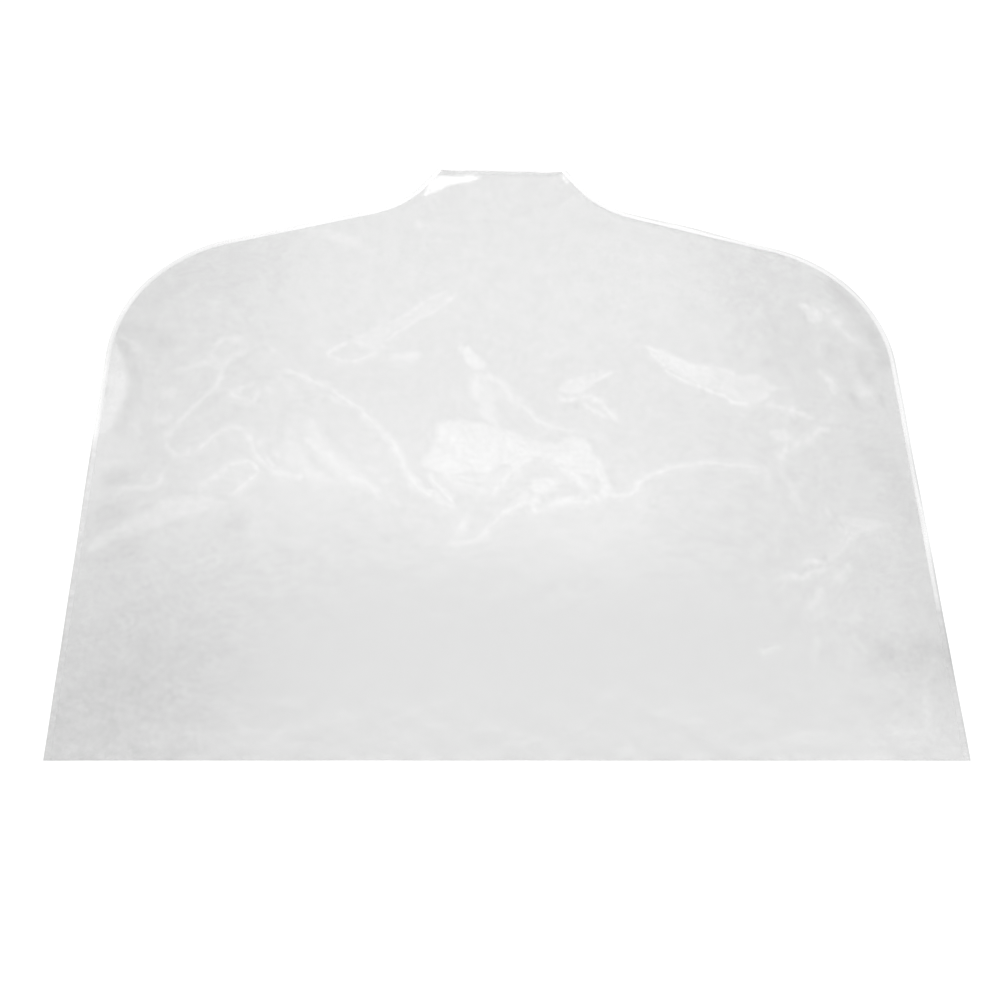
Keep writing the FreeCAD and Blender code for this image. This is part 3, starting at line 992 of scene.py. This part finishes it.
# Soft lights: name, place, what they aim at, width and height, watts
LIGHTS = (
    ("overhead_strip", (0, -0.65, 2.7), (0, -0.65, 0), (4.6, 1.5), 44),
    ("back_softbox", (0.17, 2.8, 2.5), (0.17, 2.8, 0), (2.3, 3.6), 26),
    ("back_wall", (0.17, 4.8, 1.3), (0.17, 0, 1.3), (3.4, 2.2), 22),
)
WORLD_LIGHT, WORLD_SEEN = 0.75, 1.1  # how bright the white world is as a light, and to the camera
CAMERA_PLACE = (-0.131, -1.477, 2.302)
CAMERA_PITCH, CAMERA_YAW, CAMERA_ROLL = 29.84, -5.07, 4.88  # degrees
LENS, SENSOR = 50, 36  # millimetres


def floor_look():
    """Evenly glowing white, as a light table."""
    shader = Shader("floor")
    glow = shader.add("ShaderNodeEmission", None, Color=WHITE, Strength=FLOOR_GLOW).outputs[0]
    shader.material.cycles.emission_sampling = "NONE"
    return shader.finish(glow)


def make_floor():
    corners = [(x * FLOOR_REACH, y * FLOOR_REACH, 0) for x, y in ((-1, -1), (1, -1), (1, 1), (-1, 1))]
    floor = mesh_object("floor", corners, [(0, 1, 2, 3)], {}, floor_look())
    floor.location.z = -FLOOR_DROP


def make_light(name, place, target, size, watts):
    """Rectangular soft light that the camera doesn't see."""
    lamp = bpy.data.lights.new(name, "AREA")
    lamp.shape = "RECTANGLE"
    lamp.size, lamp.size_y = size
    lamp.energy = watts
    light = bpy.data.objects.new(name, lamp)
    light.location = place
    light.rotation_euler = (Vector(target) - Vector(place)).to_track_quat("-Z", "Y").to_euler()
    light.visible_camera = False
    bpy.context.scene.collection.objects.link(light)


def make_world():
    world = bpy.data.worlds.new("studio")
    world.use_nodes = True
    nodes, links = world.node_tree.nodes, world.node_tree.links
    nodes["Background"].inputs["Color"].default_value = WHITE
    strength = nodes.new("ShaderNodeMapRange")
    strength.inputs["To Min"].default_value = WORLD_LIGHT
    strength.inputs["To Max"].default_value = WORLD_SEEN
    links.new(nodes.new("ShaderNodeLightPath").outputs["Is Camera Ray"], strength.inputs["Value"])
    links.new(strength.outputs["Result"], nodes["Background"].inputs["Strength"])
    bpy.context.scene.world = world


def make_camera():
    lens = bpy.data.cameras.new("camera")
    lens.lens = LENS
    lens.sensor_width = SENSOR
    camera = bpy.data.objects.new("camera", lens)
    camera.location = CAMERA_PLACE
    pitch, yaw, roll = (math.radians(angle) for angle in (CAMERA_PITCH, CAMERA_YAW, CAMERA_ROLL))
    turned = Euler((pitch, 0, yaw), "XYZ").to_matrix() @ Euler((0, 0, roll), "XYZ").to_matrix()
    camera.rotation_euler = turned.to_euler()
    bpy.context.scene.collection.objects.link(camera)
    bpy.context.scene.camera = camera


def main():
    back_look = film_look("back_film_look", pass_clear=0.955, pass_film=0.955, haze_film=0.03)
    front_look = film_look("front_film_look", pass_clear=0.95, pass_film=0.865, haze_film=0.04)
    back, back_area = make_panel("back_film", is_front=False, material=back_look)
    front, front_area = make_panel("front_film", is_front=True, material=front_look)
    back_band = make_band("back_neck_fold", is_front=False, material=band_look())
    front_band = make_band("front_neck_fold", is_front=True, material=band_look())
    seals = make_seals(seal_look())
    for piece, node, slot in (
        (back, "back_panel", "film"),
        (front, "front_panel", "film"),
        (back_band, "back_neck_band", "neck_band"),
        (front_band, "front_neck_band", "neck_band"),
    ):
        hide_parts(node)
        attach(piece, "root")
    make_floor()
    for light in LIGHTS:
        make_light(*light)
    make_world()
    make_camera()
    scene = bpy.context.scene
    scene.view_settings.view_transform = "Standard"
    scene.cycles.transparent_max_bounces = 32


main()
